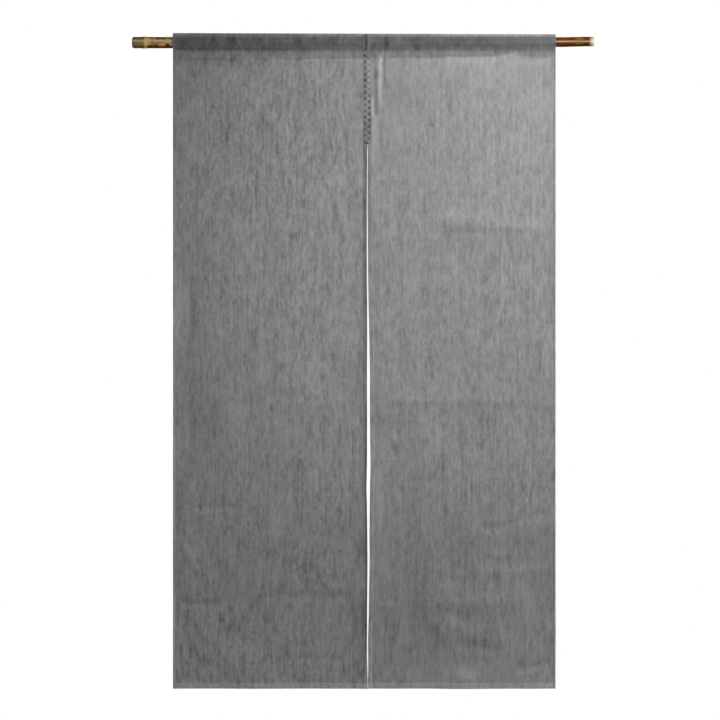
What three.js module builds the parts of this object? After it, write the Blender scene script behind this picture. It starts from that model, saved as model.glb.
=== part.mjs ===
// Noren curtain: two hemp panels hung side by side on a bamboo rod.
// Millimetres. X runs along the rod, +Z is up and the front of the cloth faces -Y.
// The origin is the middle of the rod's axis.

import * as THREE from 'three';
import { mergeVertices } from 'three/addons/utils/BufferGeometryUtils.js';

// Rod
const ROD = {
  length: 1055.6,
  leftRadius: 13.1,
  rightRadius: 10.8,
  sides: 24,
  leftEndRounding: 3.2,
  rightEndRounding: 0.8,
  boreRadius: 5.2,
  boreDepth: 14,
  ridgeHeight: 0.8,
  ridgeHalfLength: 4,
};

// Places of the culm's nodes along the rod, uneven as they grow
const ROD_NODES = [-501, -288, -66, 163, 389];

// Cloth
const CLOTH = {
  thickness: 1.2,
  leftEdge: -434.6,
  rightEdge: 440.7,
  seam: 10.6,
  seamGap: 0.3,
  slitTop: -233,
  bottom: -1479.4,
};

// Hems: the turned layers add to the cloth's back, over these widths
const HEM = {
  extra: 0.8,
  outer: 3,
  slit: 8,
  bottom: 12.6,
  step: 0.6,
};

// Rod pocket: the cloth goes up the front, over the rod and down the back to one stitch line
const POCKET = {
  rodClearance: 1.3,
  stitch: -18.3,
  layerGap: 0.3,
  pressAngle: THREE.MathUtils.degToRad(45.5),
  leaveAngle: THREE.MathUtils.degToRad(62),
  foldRounding: 2,
  bendSteps: 3,
  arcSteps: 6,
  turnedExtra: 0.9,
  turnedStart: 4,
};

// Lower edge of the allowance behind the pocket, wavy towards the right
const ALLOWANCE = [
  { x: -434.6, z: -36.6 },
  { x: 180, z: -36.6 },
  { x: 290, z: -33 },
  { x: 338, z: -25 },
  { x: 384, z: -36 },
  { x: 440.7, z: -36 },
];

// Slit between the panels from its top down: its middle and its width
const SLIT = [
  { z: -233, middle: 10.6, width: 0.4 },
  { z: -265, middle: 11, width: 1.1 },
  { z: -360, middle: 11.3, width: 1.7 },
  { z: -460, middle: 11.3, width: 2.8 },
  { z: -590, middle: 12.3, width: 3 },
  { z: -682, middle: 12.6, width: 4.5 },
  { z: -760, middle: 12.5, width: 6.5 },
  { z: -860, middle: 12.8, width: 6.4 },
  { z: -965, middle: 13.3, width: 8.1 },
  { z: -1020, middle: 12.5, width: 8.1 },
  { z: -1062, middle: 12.7, width: 6.4 },
  { z: -1120, middle: 12.9, width: 5 },
  { z: -1185, middle: 13.3, width: 4.5 },
  { z: -1260, middle: 12.7, width: 3.4 },
  { z: -1364, middle: 11.7, width: 3 },
  { z: -1445, middle: 11.3, width: 2.3 },
  { z: -1470, middle: 10.8, width: 0.6 },
  { z: -1479.4, middle: 10.8, width: 0.6 },
];

// Main folds: a soft ridge or trough along a line from its start to its end.
// rise is how far it stands towards the viewer, reach is its half-width.
const FOLDS = [
  { name: 'left outer trough', x0: -411, z0: -522, x1: -411, z1: -888, reach: 36, rise: -4 },
  { name: 'left outer ridge', x0: -320, z0: -340, x1: -318, z1: -934, reach: 50, rise: 3.5 },
  { name: 'left middle swell', x0: -144, z0: -360, x1: -122, z1: -1180, reach: 70, rise: 3 },
  { name: 'left press crease', x0: -231, z0: -796, x1: -144, z1: -794, reach: 34, rise: 2.5 },
  { name: 'left low crease', x0: -240, z0: -1249, x1: -25, z1: -1249, reach: 36, rise: 4 },
  { name: 'left corner fold', x0: -432, z0: -1185, x1: -313, z1: -1414, reach: 40, rise: 3.5 },
  { name: 'crease beside the seam', x0: 32, z0: -32, x1: 32, z1: -197, reach: 30, rise: 3 },
  { name: 'right top crease', x0: 176, z0: -417, x1: 400, z1: -421, reach: 38, rise: 4.5 },
  { name: 'right slit swell', x0: 50, z0: -440, x1: 62, z1: -456, reach: 40, rise: 3 },
  { name: 'right upper crease', x0: 227, z0: -582, x1: 307, z1: -584, reach: 36, rise: 3 },
  { name: 'right full crease', x0: 21, z0: -822, x1: 423, z1: -818, reach: 38, rise: 4.5 },
  { name: 'right sweeping trough', x0: 48, z0: -888, x1: 94, z1: -1277, reach: 40, rise: -5 },
  { name: 'right sweeping ridge', x0: 112, z0: -910, x1: 158, z1: -1250, reach: 44, rise: 3.5 },
  { name: 'right slanted crease', x0: 263, z0: -1117, x1: 405, z1: -1082, reach: 36, rise: 3 },
  { name: 'right low crease', x0: 167, z0: -1277, x1: 341, z1: -1270, reach: 36, rise: 5 },
  { name: 'right second low crease', x0: 190, z0: -1345, x1: 314, z1: -1359, reach: 34, rise: 4 },
  { name: 'right low dome', x0: 262, z0: -1308, x1: 276, z1: -1314, reach: 110, rise: 5 },
  { name: 'right corner fold', x0: 325, z0: -1432, x1: 440, z1: -1350, reach: 34, rise: 3.5 },
  { name: 'right hem curl', x0: 220, z0: -1469, x1: 246, z1: -1469, reach: 40, rise: 4 },
];

// The slit edges curl a little apart in depth below the seam
const EDGE_CURL = {
  reach: 26,
  left: 2.5,
  right: -2,
};

// Grid of a panel, and how fast the folds grow below the stitch line
const GRID = {
  columns: 10,
  drapeRows: 34,
  foldStart: 110,
};

// Values along a table

function tableAt(table, key, at, column) {
  const rising = table[0][key] < table[table.length - 1][key];
  const rows = rising ? table : [...table].reverse();
  if (at <= rows[0][key]) return rows[0][column];
  for (let i = 1; i < rows.length; i++) {
    if (at > rows[i][key]) continue;
    const share = (at - rows[i - 1][key]) / (rows[i][key] - rows[i - 1][key]);
    return THREE.MathUtils.lerp(rows[i - 1][column], rows[i][column], share);
  }
  return rows[rows.length - 1][column];
}

// Folds of the hanging cloth

function foldHeight(fold, x, z) {
  const start = new THREE.Vector2(fold.x0, fold.z0);
  const along = new THREE.Vector2(fold.x1, fold.z1).sub(start);
  const offset = new THREE.Vector2(x, z).sub(start);
  const share = THREE.MathUtils.clamp(offset.dot(along) / along.lengthSq(), 0, 1);
  const distance = offset.sub(along.multiplyScalar(share)).length();
  return fold.rise * Math.exp(-((distance / fold.reach) ** 2));
}

function drapeDepth(panel, x, z, slitX) {
  const below = THREE.MathUtils.smoothstep(POCKET.stitch - z, 0, GRID.foldStart);
  let rise = 0;
  for (const fold of FOLDS) rise += foldHeight(fold, x, z);
  const open = THREE.MathUtils.smoothstep(CLOTH.slitTop - z, 0, 300);
  const curl = Math.exp(-(((x - slitX) / EDGE_CURL.reach) ** 2));
  return -below * rise - open * curl * panel.curl;
}

// Section of the rod pocket

function rodRadius(x) {
  return THREE.MathUtils.mapLinear(x, -ROD.length / 2, ROD.length / 2, ROD.leftRadius, ROD.rightRadius);
}

// From the stitch line up the front to the pressed fold above the rod, as (depth, height) pairs
function pocketFront(x, halfGap) {
  const wrap = rodRadius(x) + POCKET.rodClearance + CLOTH.thickness / 2;
  const onWrap = (angle) => new THREE.Vector2(-wrap * Math.cos(angle), wrap * Math.sin(angle));
  const leave = onWrap(-POCKET.leaveAngle);
  const drop = (-halfGap - leave.x) / Math.tan(POCKET.leaveAngle);
  const bend = new THREE.Vector2(-halfGap, leave.y - drop);
  const stitch = new THREE.Vector2(-halfGap, POCKET.stitch);
  const points = new THREE.QuadraticBezierCurve(stitch, bend, leave).getPoints(POCKET.bendSteps);
  for (let i = 1; i <= POCKET.arcSteps; i++) {
    const share = i / POCKET.arcSteps;
    points.push(onWrap(THREE.MathUtils.lerp(-POCKET.leaveAngle, POCKET.pressAngle, share)));
  }
  const peak = new THREE.Vector2(0, wrap / Math.sin(POCKET.pressAngle));
  const run = new THREE.Vector2(Math.sin(POCKET.pressAngle), Math.cos(POCKET.pressAngle));
  const shoulder = peak.clone().addScaledVector(run, -POCKET.foldRounding);
  points.push(shoulder, new THREE.Vector2(0, (shoulder.y + peak.y) / 2));
  return points;
}

function pocketSection(x, halfGap) {
  const front = pocketFront(x, halfGap);
  const back = front.slice(0, -1).reverse().map((point) => new THREE.Vector2(-point.x, point.y));
  return [...front, ...back];
}

// Grid of one panel: columns across it, and a path of points along each

function panelColumns(panel) {
  const columns = [
    { left: 0, extra: HEM.extra },
    { left: panel.leftHem, extra: HEM.extra },
    { left: panel.leftHem + HEM.step, extra: 0 },
  ];
  for (let i = 1; i < GRID.columns; i++) columns.push({ share: i / GRID.columns, extra: 0 });
  columns.push(
    { right: panel.rightHem + HEM.step, extra: 0 },
    { right: panel.rightHem, extra: HEM.extra },
    { right: 0, extra: HEM.extra },
  );
  return columns;
}

function columnX(column, leftX, rightX) {
  if (column.left !== undefined) return leftX + column.left;
  if (column.right !== undefined) return rightX - column.right;
  return THREE.MathUtils.lerp(leftX, rightX, column.share);
}

// Rows of the hanging part from the bottom hem up, with a row moved onto each level fold
function drapeRows() {
  const hemTop = CLOTH.bottom + HEM.bottom;
  const first = hemTop + HEM.step;
  const heights = [];
  for (let i = 1; i < GRID.drapeRows; i++) {
    heights.push(THREE.MathUtils.lerp(first, POCKET.stitch, i / GRID.drapeRows));
  }
  const pitch = (POCKET.stitch - first) / GRID.drapeRows;
  for (const fold of FOLDS) {
    const level = Math.abs(fold.z1 - fold.z0) < Math.abs(fold.x1 - fold.x0);
    if (!level) continue;
    const middle = (fold.z0 + fold.z1) / 2;
    const nearest = heights.findIndex((height) => Math.abs(height - middle) <= pitch / 2);
    if (nearest > 0) heights[nearest] = middle;
  }
  return [
    { z: CLOTH.bottom, extra: HEM.extra },
    { z: hemTop, extra: HEM.extra },
    { z: first, extra: 0 },
    ...heights.map((z) => ({ z, extra: 0 })),
  ];
}

function slitEdge(panel, z) {
  if (z > CLOTH.slitTop) return CLOTH.seam + panel.slitSide * CLOTH.seamGap / 2;
  const half = tableAt(SLIT, 'z', z, 'width') / 2;
  return tableAt(SLIT, 'z', z, 'middle') + panel.slitSide * half;
}

function panelPoint(panel, column, z) {
  const slitX = slitEdge(panel, z);
  const leftX = panel.slitSide < 0 ? CLOTH.leftEdge : slitX;
  const rightX = panel.slitSide < 0 ? slitX : CLOTH.rightEdge;
  const x = columnX(column, leftX, rightX);
  return { x, depth: drapeDepth(panel, x, z, slitX) };
}

function columnPath(panel, column, rows) {
  const halfGap = CLOTH.thickness / 2 + POCKET.layerGap / 2 + column.extra;
  const path = [];
  for (const row of rows) {
    const { x, depth } = panelPoint(panel, column, row.z);
    path.push({ x, y: depth - halfGap, z: row.z, extra: Math.max(row.extra, column.extra) });
  }
  const pocketX = panelPoint(panel, column, POCKET.stitch).x;
  for (const point of pocketSection(pocketX, halfGap)) {
    path.push({ x: pocketX, y: point.x, z: point.y, extra: column.extra });
  }
  const lower = tableAt(ALLOWANCE, 'x', pocketX, 'z');
  for (const z of [POCKET.stitch - POCKET.turnedStart, lower]) {
    const { depth } = panelPoint(panel, column, z);
    const y = depth + halfGap + POCKET.turnedExtra;
    path.push({ x: pocketX, y, z, extra: column.extra + POCKET.turnedExtra });
  }
  return path;
}

// The outward direction of the sheet at a point of a column's path, as (depth, height)
function outward(path, index) {
  const before = path[Math.max(index - 1, 0)];
  const after = path[Math.min(index + 1, path.length - 1)];
  return new THREE.Vector2(-(after.z - before.z), after.y - before.y).normalize();
}

// A solid made ready: one list of shared points, no triangles without area
function closedSolid(geometry) {
  geometry.deleteAttribute('normal');
  geometry.deleteAttribute('uv');
  const merged = mergeVertices(geometry, 1e-3);
  const corners = merged.index.array;
  const kept = [];
  for (let i = 0; i < corners.length; i += 3) {
    const [a, b, c] = corners.slice(i, i + 3);
    if (a !== b && b !== c && c !== a) kept.push(a, b, c);
  }
  merged.setIndex(kept);
  merged.computeVertexNormals();
  return merged;
}

// A flat cut piece of cloth whose points are carried onto the hanging path
function panelGeometry(panel) {
  const rows = drapeRows();
  const paths = panelColumns(panel).map((column) => columnPath(panel, column, rows));
  const columnCount = paths.length - 1;
  const rowCount = paths[0].length - 1;
  const geometry = new THREE.BoxGeometry(1, 1, 1, columnCount, rowCount, 1);
  const points = geometry.attributes.position;
  for (let i = 0; i < points.count; i++) {
    const path = paths[Math.round((points.getX(i) + 0.5) * columnCount)];
    const index = Math.round((points.getY(i) + 0.5) * rowCount);
    const point = path[index];
    const normal = outward(path, index);
    const isOuter = points.getZ(i) > 0;
    const offset = isOuter ? CLOTH.thickness / 2 : -CLOTH.thickness / 2 - point.extra;
    points.setXYZ(i, point.x, point.y + normal.x * offset, point.z + normal.y * offset);
  }
  return closedSolid(geometry);
}

// Rod: a tapered culm with a ridge at each node, closed at the left and hollow at the right end

function rodProfile() {
  const half = ROD.length / 2;
  const profile = [new THREE.Vector2(0, -half)];
  const roundSteps = 3;
  for (let i = 0; i <= roundSteps; i++) {
    const angle = (i / roundSteps) * Math.PI / 2;
    const radius = ROD.leftRadius - ROD.leftEndRounding * (1 - Math.sin(angle));
    profile.push(new THREE.Vector2(radius, -half + ROD.leftEndRounding * (1 - Math.cos(angle))));
  }
  for (const place of ROD_NODES) {
    const radius = rodRadius(place);
    profile.push(
      new THREE.Vector2(radius, place - ROD.ridgeHalfLength),
      new THREE.Vector2(radius + ROD.ridgeHeight, place - ROD.ridgeHalfLength / 4),
      new THREE.Vector2(radius + ROD.ridgeHeight * 0.7, place + ROD.ridgeHalfLength / 3),
      new THREE.Vector2(radius, place + ROD.ridgeHalfLength),
    );
  }
  profile.push(
    new THREE.Vector2(ROD.rightRadius, half - ROD.rightEndRounding),
    new THREE.Vector2(ROD.rightRadius - ROD.rightEndRounding, half),
    new THREE.Vector2(ROD.boreRadius, half),
    new THREE.Vector2(ROD.boreRadius, half - ROD.boreDepth),
    new THREE.Vector2(0, half - ROD.boreDepth),
  );
  return profile;
}

function rodGeometry() {
  const geometry = new THREE.LatheGeometry(rodProfile(), ROD.sides);
  geometry.rotateZ(-Math.PI / 2);
  return closedSolid(geometry);
}

// Materials and meshes

const grey = { roughness: 0.95, metalness: 0 };
const hempLeft = new THREE.MeshStandardMaterial({ color: 0x6f6f6f, ...grey });
const hempRight = new THREE.MeshStandardMaterial({ color: 0x777777, ...grey });
const bamboo = new THREE.MeshStandardMaterial({ color: 0x9a7442, roughness: 0.5, metalness: 0 });

const PANELS = [
  { name: 'left_panel', slitSide: -1, leftHem: HEM.outer, rightHem: HEM.slit, curl: EDGE_CURL.left, cloth: hempLeft },
  { name: 'right_panel', slitSide: 1, leftHem: HEM.slit, rightHem: HEM.outer, curl: EDGE_CURL.right, cloth: hempRight },
];

function namedMesh(name, geometry, material) {
  const mesh = new THREE.Mesh(geometry, material);
  mesh.name = name;
  return mesh;
}

const noren = new THREE.Group();
for (const panel of PANELS) noren.add(namedMesh(panel.name, panelGeometry(panel), panel.cloth));
noren.add(namedMesh('bamboo_rod', rodGeometry(), bamboo));

export default noren;
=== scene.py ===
# Noren curtain: two widths of grey hemp cloth, joined at the top and slit below, on a bamboo rod.
# Metres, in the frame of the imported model: X runs along the rod, +Z is up, the front faces -Y.

import math
from collections import namedtuple

import bpy
import numpy as np
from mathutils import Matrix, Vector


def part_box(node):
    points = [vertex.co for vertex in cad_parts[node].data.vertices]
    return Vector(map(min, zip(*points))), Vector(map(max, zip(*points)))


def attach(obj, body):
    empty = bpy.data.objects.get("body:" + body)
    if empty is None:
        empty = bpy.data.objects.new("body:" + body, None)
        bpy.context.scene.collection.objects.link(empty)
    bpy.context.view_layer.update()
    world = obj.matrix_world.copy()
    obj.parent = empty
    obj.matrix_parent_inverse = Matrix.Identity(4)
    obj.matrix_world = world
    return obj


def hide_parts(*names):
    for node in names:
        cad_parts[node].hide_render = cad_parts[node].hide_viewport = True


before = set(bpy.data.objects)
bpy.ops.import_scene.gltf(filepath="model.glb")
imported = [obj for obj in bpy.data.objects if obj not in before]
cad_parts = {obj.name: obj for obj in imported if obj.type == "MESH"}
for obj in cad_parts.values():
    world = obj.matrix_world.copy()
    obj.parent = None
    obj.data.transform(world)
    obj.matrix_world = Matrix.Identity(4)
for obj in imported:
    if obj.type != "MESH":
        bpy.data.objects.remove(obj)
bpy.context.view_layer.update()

# Sizes below are in millimetres, and MM turns them into metres
MM = 0.001

cloth_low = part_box("left_panel")[0]
CLOTH_LEFT = cloth_low[0] / MM
CLOTH_BOTTOM = cloth_low[2] / MM
CLOTH_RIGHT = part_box("right_panel")[1][0] / MM

# Seam between the panels, head of the slit, one layer of cloth, and what a hem adds to it
SEAM_X = 10.6
SEAM_GAP = 0.06
SLIT_TOP = -233
LAYER = 1.0
HEM_EXTRA = 0.8

ROD_LEFT, ROD_RIGHT = (corner[0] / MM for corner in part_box("bamboo_rod"))
ROD_LEFT_RADIUS = 13.1
ROD_RIGHT_RADIUS = 10.8

# Rod pocket, as in the solids: its stitch line, the wrap round the rod and the pressed fold
STITCH_Z = -18.3
WRAP_CLEARANCE = 2.5
LEAVE_ANGLE = math.radians(62)
PRESS_ANGLE = math.radians(45.5)
FOLD_ROUNDING = 3
HALF_POCKET = 1.35
BEND_POINTS = 6
WRAP_POINTS = 11

# The points of the pocket's front that sag, and a dent in it beside the seam
LOOSE_POINTS = slice(4, 16)
DENT_X = 53
DENT_DEPTH = 0.8
DENT_REACH = 5

# Rows of the allowance turned in behind: share of its height, start below the stitch line, gap to the cloth
TurnedRow = namedtuple("TurnedRow", "share start gap")
TURNED_ROWS = [TurnedRow(0, 1.6, 0.3)] + [TurnedRow(share, 4, 0.9) for share in (0, 0.33, 0.66, 0.9, 1)]

# Hem widths, and the width of the soft step at a hem's edge
OUTER_HEM = 3
SLIT_HEM = 8
BOTTOM_HEM = 12.6
HEM_STEP = 1.4

# Edges of the cloth: which are rounded and how far, and up to which angle faces are shaded as one
SHARP_EDGE = math.radians(65)
EDGE_ROUNDING = 0.3
SMOOTH_BELOW = math.radians(50)

# Grid of a panel: pitch of the open cloth, and of the zone beside the seam and slit
OPEN_PITCH = 4.7
SEAM_PITCH = 2.0
SEAM_ZONE = 46
ROW_PITCH = 4.6

# Length over which the folds, the uppermost creases and the slit's curl come in, and how far the curl reaches
FOLD_START = 110
TOP_CREASE_START = 8
CURL_START = 300
CURL_REACH = 26

# Slit between the panels from its top down: its middle and its width
Slit = namedtuple("Slit", "z middle width")
SLIT = [Slit(*row) for row in (
    (-233, 10.6, 0.4), (-252, 10.5, 1.3), (-300, 10.1, 1.2), (-360, 9.7, 1.5), (-444, 10.0, 2.4),
    (-535, 10.3, 2.9), (-590, 11.2, 3.0), (-682, 12.2, 4.9), (-760, 12.6, 6.7), (-860, 12.6, 6.2),
    (-965, 13.2, 8.0), (-1020, 12.0, 7.9), (-1062, 12.3, 6.3), (-1120, 12.4, 5.0), (-1185, 12.9, 4.6),
    (-1260, 12.0, 4.0), (-1313, 11.4, 3.7), (-1364, 10.4, 2.3), (-1405, 10.6, 2.5), (-1440, 11.2, 1.2),
    (-1460, 10.8, 0.4), (-1479.4, 10.8, 0.4))]

# Lower edge of the allowance behind the pocket
ALLOWANCE = [
    (-434.6, -40.5), (-371, -43.5), (-325, -41.5), (-302, -45), (-265, -38.5), (-222, -44), (-188, -40.5),
    (-165, -43), (-120, -40), (-50, -40), (0, -41), (64, -40), (90, -36.5), (156, -39.5), (201, -34.5),
    (258, -37.5), (296, -35.5), (338, -28.5), (384, -37.5), (407, -38.5), (440.7, -35)]

# Folds: soft ridges (rise towards the viewer) or troughs along a line of points.
# fade is the share of the line over which each end dies away.
Fold = namedtuple("Fold", "name rise reach fade line")
MAIN_FOLDS = [Fold(*row) for row in (
    # Left panel
    ("outer trough", -4, 36, 0, [(-411, -522), (-411, -888)]),
    ("outer ridge", 3.5, 50, 0, [(-320, -340), (-318, -934)]),
    ("middle swell", 3, 70, 0, [(-144, -360), (-122, -1180)]),
    ("press crease", 2.9, 30, 0, [(-231, -796), (-144, -794)]),
    ("low crease", 4, 36, 0, [(-240, -1249), (-25, -1249)]),
    ("corner fold", 2, 44, 0, [(-432, -1185), (-313, -1414)]),
    # Right panel
    ("crease beside the seam", 3, 30, 0, [(32, -32), (32, -197)]),
    ("top crease", 4.5, 38, 0, [(176, -417), (400, -421)]),
    ("slit swell", 3, 40, 0, [(50, -440), (62, -456)]),
    ("upper crease", 3, 36, 0, [(227, -582), (307, -584)]),
    ("full crease", 2.4, 38, 0, [(21, -822), (423, -818)]),
    ("sweeping trough", -1.9, 46, 0, [(48, -888), (94, -1277)]),
    ("sweeping ridge", 2.2, 46, 0, [(112, -910), (158, -1250)]),
    ("slanted crease", 3, 36, 0, [(263, -1117), (405, -1082)]),
    ("low crease", 4, 36, 0, [(167, -1277), (341, -1270)]),
    ("second low crease", 4, 34, 0, [(190, -1345), (314, -1359)]),
    ("low dome", 5, 110, 0, [(262, -1308), (276, -1314)]),
    ("corner fold", 3.5, 34, 0, [(325, -1432), (440, -1350)]),
    ("hem curl", 4, 40, 0, [(220, -1469), (246, -1469)]),
)]

# Narrow creases that lie on the main folds, all made deeper by one share
CREASE_DEPTH = 1.8
CREASES = [Fold(*row) for row in (
    # Left panel
    ("shoulder dent", -1.4, 12, 0.4, [(-393, -69), (-389, -96)]),
    ("upper dent", -1.3, 10, 0.3, [(-313, -339), (-318, -442), (-304, -533)]),
    ("long dent", -1.2, 18, 0.3, [(-403, -503), (-400, -590), (-389, -693)]),
    ("upper bump", 0.8, 7, 0.3, [(-261, -213), (-258, -281)]),
    ("slanted crease", 2.4, 8, 0.25, [(-70, -330), (-56, -390), (-34, -465)]),
    ("middle crease", -1.4, 12, 0.25, [(-224, -810), (-117, -808)]),
    ("edge crease", -0.7, 10, 0.2, [(-400, -808), (-396, -934)]),
    ("side crease", -1.8, 9, 0.25, [(-412, -1066), (-279, -1066)]),
    ("long low crease", -1.5, 12, 0.12, [(-231, -1270), (-121, -1268), (-23, -1265)]),
    ("short low crease", -1.7, 8, 0.2, [(-432, -1284), (-322, -1286)]),
    ("lowest crease", -0.9, 7, 0.3, [(-225, -1414), (-130, -1410), (-30, -1412)]),
    ("inner dent", -0.8, 20, 0.4, [(-41, -1117), (-7, -1185)]),
    ("inner bump", 0.8, 10, 0.4, [(-53, -1062), (-48, -1075)]),
    ("low bump", 0.8, 9, 0.4, [(-82, -1158), (-71, -1160)]),
    ("arc", 1.2, 8, 0.25, [(-432, -1130), (-400, -1167), (-373, -1226)]),
    ("lower arc", 0.4, 11, 0.3, [(-382, -1318), (-345, -1368), (-313, -1414)]),
    # Right panel
    ("upper swell", 1.5, 18, 0.2, [(183, -416), (314, -416), (396, -421)]),
    ("upper groove", -0.8, 7, 0.2, [(183, -437), (314, -435), (398, -439)]),
    ("small dent", -0.9, 9, 0.4, [(192, -480), (213, -480)]),
    ("bright streak", 0.7, 9, 0.3, [(240, -574), (298, -574)]),
    ("short groove", -0.8, 8, 0.25, [(32, -734), (89, -734)]),
    ("small bump", 0.8, 8, 0.4, [(96, -750), (110, -750)]),
    ("middle dent", -0.7, 8, 0.4, [(307, -778), (341, -778)]),
    ("full ridge", 1.3, 9, 0.12, [(40, -822), (153, -822), (245, -819), (372, -826)]),
    ("low upright groove", -0.7, 8, 0.25, [(106, -1285), (108, -1370)]),
    ("small lower groove", -0.35, 8, 0.3, [(150, -1236), (188, -1232), (240, -1238)]),
    ("sweep first dent", -1.0, 9, 0.4, [(79, -885), (80, -911)]),
    ("sweep deep dent", -1.7, 9, 0.4, [(67, -922), (70, -958)]),
    ("sweep third dent", -0.9, 9, 0.4, [(82, -1010), (90, -1052)]),
    ("sweep low dent", -0.7, 9, 0.4, [(98, -1120), (104, -1190)]),
    ("hem ridge", 0.8, 10, 0.2, [(37, -911), (39, -1094), (44, -1277)]),
    ("inner dent", -0.9, 9, 0.4, [(181, -870), (185, -900)]),
    ("second inner dent", -0.7, 9, 0.4, [(181, -975), (183, -1065)]),
    ("slanted groove", -1.9, 10, 0.2, [(255, -1108), (310, -1112), (370, -1092), (437, -1072)]),
    ("first ripple", 1.5, 10, 0.3, [(262, -1170), (310, -1174), (372, -1168)]),
    ("second ripple", 1.4, 11, 0.3, [(250, -1219), (330, -1213), (425, -1205)]),
    ("low ridge", 1.2, 14, 0.2, [(172, -1281), (256, -1283), (346, -1276)]),
    ("low groove", -1.4, 16, 0.35, [(195, -1316), (254, -1322)]),
    ("lower groove", -1.3, 13, 0.25, [(206, -1377), (263, -1382), (318, -1391)]),
    ("hem bump", 1.7, 12, 0.4, [(204, -1451), (259, -1453)]),
    ("corner groove", -1.5, 9, 0.2, [(343, -1439), (394, -1430), (435, -1414)]),
    ("seam bump", 1.2, 7, 0.25, [(25, -1290), (76, -1290)]),
    ("corner arc", 1.3, 8, 0.3, [(396, -1357), (435, -1327)]),
    ("seam ridge", 1.6, 6, 0.1, [(37, -27), (37, -130), (32, -165)]),
    ("seam groove", -1.2, 5, 0.1, [(28, -55), (28, -169)]),
    ("small groove", -0.6, 5, 0.3, [(53, -76), (54, -121)]),
    ("faint line", 0.5, 4, 0.2, [(343, -40), (343, -160)]),
)]

TOP_CREASES = [crease for crease in CREASES if crease.line[0][1] > -FOLD_START]

# Slow unevenness of hanging cloth: wavelengths across and down, 0 for none, and height
Wave = namedtuple("Wave", "wide tall height")
WAVES = [Wave(310, 0, 0.9), Wave(173, 410, 0.6), Wave(97, 930, 0.35), Wave(0, 260, 0.35), Wave(230, 190, 0.3)]
WAVE_TURN = 1.7

# Ripples: gathers under the pocket and how they drift, pulls along the seam, and the pocket's sag
Ripple = namedtuple("Ripple", "height length")
GATHERS = [Ripple(0.45, 3.9), Ripple(0.35, 2.4)]
GATHER_DRIFT = Ripple(3, 31)
GATHER_START = 6
GATHER_REACH = 34
PULLS = [Ripple(0.4, 2.3), Ripple(0.35, 4.1)]
PULL_START = 4
PULL_REACH = 16
PULL_LENGTH = 30
SAGS = [Ripple(0.35, 13), Ripple(0.2, 5.3)]

# Share of the light that a single cloth lets through and the most there is, what hems hold back, what a
# raw edge adds, how much painted light brightens the bottom hem, and over which height that comes in
CLEAR = 0.64
MOST_CLEAR = 0.9
HEM_LOSS = {"left_panel": 0.22, "right_panel": 0.13}
BOTTOM_HEM_LOSS = 0.1
RAW_EDGE_GAIN = 0.2
BOTTOM_HEM_PAINTED_LIGHT = 0.15
BOTTOM_GAIN_START = 2

# How strongly the two widths of cloth are heathered, from the bottom up
CONTRAST = {
    "left_panel": [(-1479, 1.34), (-1100, 1.22), (-740, 1.0), (-40, 1.14), (-18, 1.0)],
    "right_panel": [(-1479, 1.08), (-1100, 1.02), (-740, 0.95), (-40, 0.78), (-18, 0.9)],
}

# The pocket from below its stitch line up to its top: how bright its face is painted, as painted light and
# shade over the tube and its top, and what it lets through
POCKET_PAINTED_LIGHT = [
    (-30, 1), (-27.5, 1.05), (-20.6, 1.05), (-18.3, 1), (-16, 1.62), (-13.7, 2.45), (-11.4, 2.08),
    (-9.2, 1.48), (-6.9, 1.36), (-4.6, 1.37), (0, 1.45), (4.6, 1.36), (8, 1.7), (10.3, 2.45), (12.6, 2.85),
    (14.9, 3.2), (17.2, 3.7)]
POCKET_PASSES = [
    (-38, 1), (-34, 1), (-25, 1.05), (-20.6, 0.98), (-18.3, 0.88), (-16, 0.6), (-13.7, 0.5), (11.4, 0.5),
    (13.7, 0.8), (18.3, 1)]

# Painted shade in the dimples round the needle holes of the joining stitch: how dark it is, down each panel's
# edge
DIMPLES = {
    "left_panel": [
        (-25, 0.75), (-45, 0.7), (-59, 0.35), (-74, 0.55), (-88, 0.75), (-102, 0.75), (-116, 0.6),
        (-130, 0.45), (-145, 0.3), (-158, 0.35), (-172, 0.6), (-186, 0.5), (-215, 0.35), (-240, 0.3)],
    "right_panel": [
        (-40, 0), (-55, 0.2), (-63, 0.5), (-75, 0.4), (-92, 0.1), (-120, 0.3), (-137, 0.65), (-151, 0.75),
        (-180, 0.7), (-195, 0.55), (-220, 0.4), (-240, 0.35)],
}
DIMPLES_REACH = 22
DIMPLES_FADE = 6
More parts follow.
